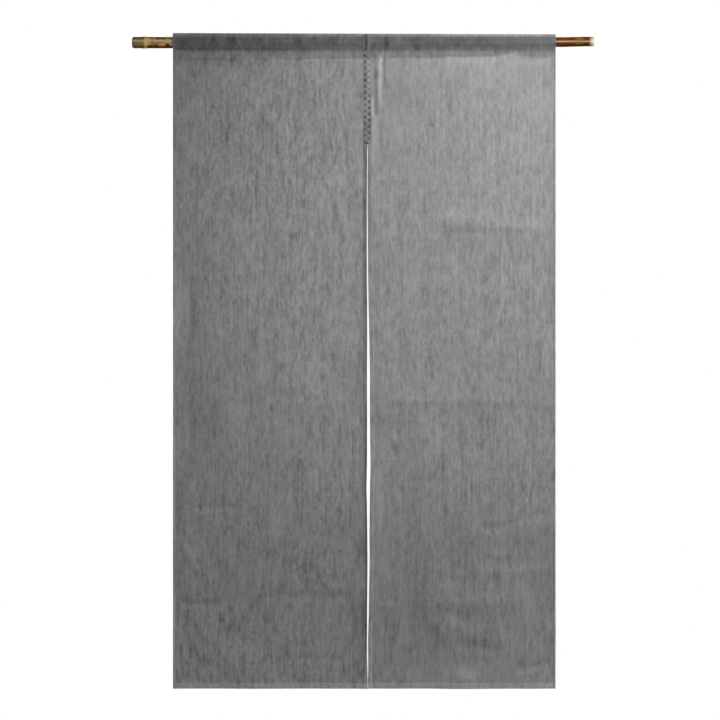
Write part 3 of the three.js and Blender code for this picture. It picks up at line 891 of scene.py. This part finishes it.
def make_bamboo():
    finish = Finish(bpy.data.materials.new("bamboo"))
    place = finish.place()
    along = finish.axis(place, "X")
    height = finish.axis(place, "Z")

    fibres = finish.noise(place, cycles_per_metre(60, 0.7, 0.7), detail=3)
    grain = finish.noise(place, cycles_per_metre(30, 3, 3), detail=3)
    mottle = finish.noise(place, cycles_per_metre(17, 6.5, 6.5), detail=3, roughness=0.6)
    patches = (finish.noise(place, cycles_per_metre(13, 7, 7)) - 0.5) * 4

    # Painted shade: the top darkened to olive and the underside to red-brown, part the culm's own colour
    top = ((height - 4) * 0.4 + patches).clamped()
    aged = finish.mix(top * 0.85, finish.ramp(mottle, AGED), OLIVE_TOP_SHADE)
    under = ((-8 - height) * 0.35 + patches).clamped()
    aged = finish.mix(under * 0.92, aged, RED_UNDERSIDE_SHADE)
    # Painted highlight along the honey right part
    painted_highlight = streak(height + 0.2 + (grain - 0.5) * 2.5, 2.5)
    honey = finish.mix(painted_highlight * 0.84, finish.ramp(grain, HONEY), RIGHT_HIGHLIGHT_PAINT)
    to_right = ((along - HONEY_FROM) / (HONEY_FULL - HONEY_FROM)).clamped()
    colour = finish.mix(to_right, aged, honey)

    for spot in SPOTS:
        centre = tuple(value * MM for value in spot.place)
        reach = finish.node("ShaderNodeVectorMath", {"operation": "DISTANCE"}, {0: place, 1: centre}, "Value")
        ragged = reach + (mottle - 0.5) * SPOT_RAGGED + (fibres - 0.5) * SPOT_GRAIN
        cover = (2 - ragged * (2 / (spot.radius * MM))).clamped() * spot.strength
        colour = finish.mix(cover, colour, (*spot.colour, 1))

    stub = ((STUB_END - along) * 0.7).clamped()
    colour = finish.mix(stub * 0.72, colour, STUB)
    scar = (1 - (along - SCAR_X).absolute() * 0.21).clamped()
    colour = finish.mix(scar * 0.9, colour, LEAF_SCAR)
    # Painted highlight along the aged left part
    painted_highlight = streak(height - 1.3 + (grain - 0.5) * 3, 3.3) * (1 - to_right)
    colour = finish.mix(painted_highlight * 0.72, colour, LEFT_HIGHLIGHT_PAINT)
    bare = ((along - BARE_FROM) * 0.12).clamped()
    colour = finish.mix(bare * 0.9, colour, BARE_END)
    colour = finish.mix(1.0, colour, finish.grey(0.74 + fibres * 0.52), "MULTIPLY")

    bump = finish.bump(fibres * 0.6 + mottle * 0.8, 0.3, 0.5)
    culm = finish.node("ShaderNodeBsdfPrincipled", None, {
        "Base Color": colour, "Roughness": 0.3 + mottle * 0.2, "Specular IOR Level": 0.4,
        "Coat Weight": 0.4, "Coat Roughness": 0.2, "Normal": bump})
    return finish.done(culm)


def make_floor_finish():
    finish = Finish(bpy.data.materials.new("pale_floor"))
    cloud = finish.noise(finish.place(), cycles_per_metre(600, 600))
    floor = finish.node("ShaderNodeBsdfPrincipled", None, {
        "Base Color": finish.grey(0.84 + cloud * 0.04), "Roughness": 0.7,
        "Emission Color": (1, 1, 1, 1), "Emission Strength": 0.4})
    return finish.done(floor)


# Rod: a tapered culm with a ridge at each node, closed at the left and hollow at the right end

ROD_SIDES = 72
ROD_NODES = [-501, -288, -66, 163, 389]
LEFT_ROUNDING = 5
RIGHT_ROUNDING = 0.8
BORE_RADIUS = 5.2
BORE_DEPTH = 14

# Profile of a node: place beside the node and height above the culm
NODE_SHAPE = [(-9, 0), (-5, 0.12), (-2.6, 0.4), (-1.2, 0.8), (-0.5, 0.75), (0, 0.2), (0.6, 0.25),
              (1.6, 0.62), (3, 0.6), (5, 0.25), (9, 0)]

# Slight natural bend of the culm: how far its middle lies above the level
CULM_BEND = [(-528, -1.4), (-430, -1.4), (-150, 0), (300, 0), (455, -0.3), (505, 1), (528, 1)]

# Rings of the culm: pitch, distance from its ends, and how far they keep from a node
RING_PITCH = 23
FIRST_RING = 45
LAST_RING = 20
CLEAR_OF_NODE = 12

# How far the culm is from round, as shares of its radius, and up to which angle faces are shaded as one
OVAL = 0.012
LUMPY = 0.006
CULM_SMOOTH_BELOW = math.radians(40)


def rod_profile():
    rings = [(ROD_LEFT, 0), (ROD_LEFT, ROD_LEFT_RADIUS * 0.5)]
    for angle in np.linspace(0, math.pi / 2, 7):
        radius = ROD_LEFT_RADIUS - LEFT_ROUNDING * (1 - math.sin(angle))
        rings.append((ROD_LEFT + LEFT_ROUNDING * (1 - math.cos(angle)), radius))
    for node in ROD_NODES:
        for beside, height in NODE_SHAPE:
            rings.append((node + beside, rod_radius(node) + height))
    for place in np.arange(ROD_LEFT + FIRST_RING, ROD_RIGHT - LAST_RING, RING_PITCH):
        if min(abs(place - node) for node in ROD_NODES) > CLEAR_OF_NODE:
            rings.append((place, rod_radius(place)))
    rings.sort(key=lambda ring: ring[0])
    inner = ROD_RIGHT - BORE_DEPTH
    rings += [
        (ROD_RIGHT - RIGHT_ROUNDING, ROD_RIGHT_RADIUS), (ROD_RIGHT - 0.2, ROD_RIGHT_RADIUS - 0.3),
        (ROD_RIGHT, ROD_RIGHT_RADIUS - RIGHT_ROUNDING), (ROD_RIGHT, BORE_RADIUS + 0.5),
        (ROD_RIGHT - 0.5, BORE_RADIUS), (inner, BORE_RADIUS), (inner - 1, BORE_RADIUS * 0.5), (inner - 1, 0)]
    return rings


def make_rod():
    rings = rod_profile()
    tiny = 0.001
    rod = start_piece("bamboo_culm", bpy.ops.mesh.primitive_circle_add, vertices=ROD_SIDES, radius=MM,
                      location=(rings[0][0] * MM, 0, 0), rotation=(0, math.pi / 2, 0))
    bpy.ops.object.transform_apply(location=True, rotation=True, scale=True)
    bpy.ops.object.mode_set(mode="EDIT")
    bpy.ops.mesh.select_all(action="SELECT")
    place, radius = rings[0][0], 1
    for next_place, next_radius in rings:
        grow = max(next_radius, tiny) / radius
        bpy.ops.mesh.extrude_edges_move(TRANSFORM_OT_translate={"value": ((next_place - place) * MM, 0, 0)})
        bpy.ops.transform.resize(value=(1, grow, grow), center_override=(next_place * MM, 0, 0))
        place, radius = next_place, max(next_radius, tiny)
    bpy.ops.mesh.select_all(action="SELECT")
    bpy.ops.mesh.remove_doubles(threshold=0.01 * MM)
    bpy.ops.mesh.normals_make_consistent(inside=False)
    bpy.ops.object.mode_set(mode="OBJECT")
    points = np.empty(len(rod.data.vertices) * 3)
    rod.data.vertices.foreach_get("co", points)
    points = points.reshape(-1, 3) / MM
    angle = np.arctan2(points[:, 2], points[:, 1])
    uneven = OVAL * np.sin(2 * angle + points[:, 0] / 90) + LUMPY * np.sin(3 * angle - points[:, 0] / 37)
    points[:, 1:] *= (1 + uneven)[:, None]
    points[:, 2] += along_table(CULM_BEND, points[:, 0])
    rod.data.vertices.foreach_set("co", (points * MM).ravel())
    rod.data.update()
    bpy.ops.object.shade_smooth_by_angle(angle=CULM_SMOOTH_BELOW)
    rod.data.materials.append(bamboo)
    return rod


# Sewing

STITCH_PITCH = 3.6
STITCH_LENGTH = 2.9
STITCH_RADIUS = 0.32

# Stitch lines: distances from the slit, outer and bottom edge, and height of the pocket's line
SLIT_LINE = SLIT_HEM - 1.2
OUTER_LINE = OUTER_HEM - 0.8
BOTTOM_LINE = BOTTOM_HEM - 1.2
POCKET_LINE = STITCH_Z - 0.4

# Joining thread: how far its legs touch both panels, places along a leg, and its dip at the needle points
SEAM_REACH = 2
LEG_SHARES = (0, 0.14, 0.5, 0.86)
THREAD_DIP = 0.4

# Needle points and bar tack: length, width and depth of one form, how proud it lies, and the tack's layout
NEEDLE_POINT = (2.2, 1.5, 0.9)
TACK_STITCH = (10.5, 0.75, 0.9)
NEEDLE_PROUD = 0.1
TACK_PROUD = 0.2
TACK_COUNT = 5
TACK_PITCH = 0.62
TACK_SHIFT = 1.6


def face_depths(panel, x, z):
    """Depths of a panel's front and back faces, hems included."""
    slit_x = slit_edge(panel, z)
    hem = hem_share(np.abs(x - panel.outer_edge), np.abs(x - slit_x))
    front = drape(panel, x, z, slit_x) - HALF_POCKET - HEM_EXTRA * hem
    hem = np.maximum(hem, z < CLOTH_BOTTOM + BOTTOM_HEM)
    return front, front + LAYER + HEM_EXTRA * hem


def upright_line(panel, from_edge, at_slit):
    z = np.arange(CLOTH_BOTTOM + BOTTOM_HEM, STITCH_Z - 3, STITCH_PITCH)
    edge = slit_edge(panel, z) if at_slit else np.full(len(z), panel.outer_edge)
    inward = panel.slit_side if at_slit else -panel.slit_side
    return edge + inward * from_edge, z


def level_line(panel, height):
    ends = sorted([panel.outer_edge, SEAM_X])
    x = np.arange(ends[0] + 2, ends[1] - 1, STITCH_PITCH)
    return x, np.full(len(x), float(height))


def copies(name, shape, places, turned, material):
    """One joined mesh of copies of a shape; those in turned lie along X, the others along Z."""
    base = np.empty(len(shape.data.vertices) * 3)
    shape.data.vertices.foreach_get("co", base)
    base = base.reshape(-1, 3)
    level = base[:, [2, 1, 0]] * (1, 1, -1)
    forms = np.where(turned[:, None, None], level[None], base[None])
    points = (places[:, None, :] * MM + forms).reshape(-1, 3)
    faces = []
    for index in range(len(places)):
        start = index * len(base)
        faces += [[start + corner for corner in face.vertices] for face in shape.data.polygons]
    mesh = bpy.data.meshes.new(name)
    mesh.from_pydata(points, [], faces)
    mesh.materials.append(material)
    joined = bpy.data.objects.new(name, mesh)
    bpy.context.collection.objects.link(joined)
    bpy.ops.object.select_all(action="DESELECT")
    bpy.context.view_layer.objects.active = joined
    joined.select_set(True)
    bpy.ops.object.shade_smooth()
    return joined


def model_bead(name, length, width, depth, sides=6, rings=4):
    """A rounded lump along Z, the one form behind a row of stitches."""
    bead = start_piece(name, bpy.ops.mesh.primitive_uv_sphere_add,
                       segments=sides, ring_count=rings, radius=0.5)
    bpy.ops.object.mode_set(mode="EDIT")
    bpy.ops.mesh.select_all(action="SELECT")
    bpy.ops.transform.resize(value=(width * MM, depth * MM, length * MM), center_override=(0, 0, 0))
    bpy.ops.object.mode_set(mode="OBJECT")
    return bead


def make_stitches(panel, bead):
    lines = [
        (upright_line(panel, SLIT_LINE, True), False),
        (upright_line(panel, OUTER_LINE, False), False),
        (level_line(panel, CLOTH_BOTTOM + BOTTOM_LINE), True),
        (level_line(panel, POCKET_LINE), True),
    ]
    places = []
    turned = []
    for (x, z), level in lines:
        front, back = face_depths(panel, x, z)
        if z[0] == POCKET_LINE:
            back = np.full(len(x), HALF_POCKET + 0.3)
        for depth in (front, back):
            places.append(np.column_stack([x, depth, z]))
            turned.append(np.full(len(x), level))
    places = np.concatenate(places)
    return copies(panel.name + "_stitches", bead, places, np.concatenate(turned), cloth_thread)


def face_over_seam(x, z):
    """Front of the hems that lie under the joining thread."""
    under = [panel for panel in PANELS if panel.slit_side * (x - SEAM_X) >= -SEAM_REACH]
    return min(float(face_depths(panel, np.array([x]), np.array([z]))[0][0]) for panel in under)


def make_zigzag():
    """Joining thread between the panels: legs over the seam that dip in at each needle point."""
    places = []
    for index in range(ZIGZAG_LEGS + 1):
        z = ZIGZAG_TOP - index * ZIGZAG_STEP
        x, ahead_x = (ZIGZAG_LEFT, ZIGZAG_RIGHT) if index % 2 == 0 else (ZIGZAG_RIGHT, ZIGZAG_LEFT)
        for share in LEG_SHARES if index < ZIGZAG_LEGS else LEG_SHARES[:1]:
            place = x + (ahead_x - x) * share
            height = z - ZIGZAG_STEP * share
            dip = -THREAD_DIP if share else THREAD_DIP
            places.append((place, face_over_seam(place, height) + dip, height))
    path = start_piece("joining_thread", bpy.ops.curve.primitive_nurbs_path_add).data
    path.splines.clear()
    spline = path.splines.new("POLY")
    spline.points.add(len(places) - 1)
    for point, place in zip(spline.points, places):
        point.co = (*(value * MM for value in place), 1)
    path.bevel_depth = ZIGZAG_RADIUS * MM
    path.bevel_resolution = 2
    path.use_fill_caps = True
    bpy.ops.object.convert(target="MESH")
    thread = bpy.context.object
    bpy.ops.object.shade_smooth()
    thread.data.materials.clear()
    thread.data.materials.append(joining_thread)
    return thread


def make_needle_points():
    bead = model_bead("needle_point_form", *NEEDLE_POINT, sides=10, rings=6)
    z = ZIGZAG_TOP - np.arange(ZIGZAG_LEGS + 1) * ZIGZAG_STEP
    right_z = z[1::2]
    rows = ((ZIGZAG_LEFT, z[::2]), (ZIGZAG_RIGHT, right_z[right_z < RIGHT_HOLES_TOP]))
    places = []
    for panel, (x, heights) in zip(PANELS, rows):
        across = np.full(len(heights), x)
        depth = face_depths(panel, across, heights)[0] - NEEDLE_PROUD
        places.append(np.column_stack([across, depth, heights]))
    places = np.concatenate(places)
    points = copies("needle_points", bead, places, np.zeros(len(places), bool), sewing_thread)
    bpy.data.objects.remove(bead)
    return points


def make_bar_tack():
    """Close satin stitches across the seam where the slit begins."""
    bead = model_bead("tack_form", *TACK_STITCH, sides=8, rings=8)
    z = SLIT_TOP + np.arange(TACK_COUNT) * TACK_PITCH
    x = np.full(len(z), SEAM_X - TACK_SHIFT)
    rows = zip(PANELS, (ZIGZAG_LEFT, ZIGZAG_RIGHT))
    faces = [face_depths(panel, np.full(len(z), at), z)[0] for panel, at in rows]
    depth = np.min(faces, axis=0) - TACK_PROUD
    tack = copies("bar_tack", bead, np.column_stack([x, depth, z]), np.ones(len(z), bool), sewing_thread)
    bpy.data.objects.remove(bead)
    return tack


bamboo = make_bamboo()
pale_floor = make_floor_finish()

for panel in PANELS:
    cloth = make_panel(panel)
    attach(cloth, "root")
    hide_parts(panel.name)

culm = make_rod()
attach(culm, "root")
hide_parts("bamboo_rod")

stitch = model_bead("stitch_form", STITCH_LENGTH, 2 * STITCH_RADIUS, 2 * STITCH_RADIUS)
sewing = [make_stitches(panel, stitch) for panel in PANELS]
bpy.data.objects.remove(stitch)
sewing += [make_zigzag(), make_needle_points(), make_bar_tack()]
for piece in sewing:
    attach(piece, "root")

# Stage: a pale floor below the photograph's frame, five soft lights and a white surround

FLOOR_Z = -2.0
FLOOR_RADIUS = 2.4
floor = start_piece("floor", bpy.ops.mesh.primitive_circle_add,
                    vertices=128, radius=FLOOR_RADIUS, fill_type="NGON", location=(0, 0, FLOOR_Z))
bpy.ops.object.transform_apply(location=True, rotation=True, scale=True)
floor.data.materials.append(pale_floor)
floor.visible_diffuse = False
floor.visible_transmission = False
floor.visible_glossy = False


def aim(item, target):
    away = np.array(item.location) - np.array(target)
    flat = math.hypot(away[0], away[1])
    item.rotation_euler = (math.atan2(flat, away[2]), 0, math.atan2(away[0], -away[1]))


def soft_light(name, place, target, spread, size, power, glossy=False):
    bpy.ops.object.light_add(type="AREA", location=place)
    light = bpy.context.object
    light.name = name
    light.data.shape = "DISK"
    light.data.size = size
    light.data.spread = spread
    light.data.energy = power
    light.visible_camera = False
    light.visible_glossy = glossy
    aim(light, target)


soft_light("key_light", (2.9, -2.58, 1.14), (0.18, 0, -2.39), 1.12, 0.5, 53, glossy=True)
soft_light("upper_fill", (-0.72, -2.08, -0.49), (0.69, 0, 0.31), 0.8, 0.5, 2.6)
soft_light("left_fill", (-0.37, -3.98, -1.08), (-1.94, 0, -1.2), 1.58, 0.6, 28)
soft_light("corner_light", (0.9, 1.6, -0.9), (0.43, 0, -0.02), 0.45, 0.2, 0.1)
soft_light("back_light", (-0.6, 3.61, -2.29), (0.4, 0, 0.12), 0.6, 0.5, 3.9)

SURROUND_LIGHT = 0.024
world = bpy.data.worlds.new("White surround")
bpy.context.scene.world = world
sky = Finish(world)
seen = sky.node("ShaderNodeBackground", None, {"Color": (1, 1, 1, 1)})
lit = sky.node("ShaderNodeBackground", None, {"Color": (*(SURROUND_LIGHT,) * 3, 1)})
from_camera = sky.node("ShaderNodeLightPath", output="Is Camera Ray")
surround = sky.node("ShaderNodeMixShader", None, {0: from_camera, 1: lit, 2: seen})
sky.node("ShaderNodeOutputWorld", None, {"Surface": surround})

# Camera: level and face on, as far away as the photograph's flat view suggests

CAMERA_DISTANCE = 5.0
SENSOR_WIDTH = 36
PIXEL = 2.288 * MM
FRAME_PIXELS = 720
ROD_PIXEL_X, ROD_PIXEL_Y = 362.95, 42
frame_width = PIXEL * FRAME_PIXELS
camera_data = bpy.data.cameras.new("camera")
camera = bpy.data.objects.new("camera", camera_data)
bpy.context.collection.objects.link(camera)
camera_data.sensor_width = SENSOR_WIDTH
camera_data.lens = SENSOR_WIDTH * CAMERA_DISTANCE / frame_width
camera.location = ((FRAME_PIXELS / 2 - ROD_PIXEL_X) * PIXEL, -CAMERA_DISTANCE,
                   (ROD_PIXEL_Y - FRAME_PIXELS / 2) * PIXEL)
camera.rotation_euler = (math.pi / 2, 0, 0)
bpy.context.scene.camera = camera
bpy.context.scene.view_settings.view_transform = "Standard"
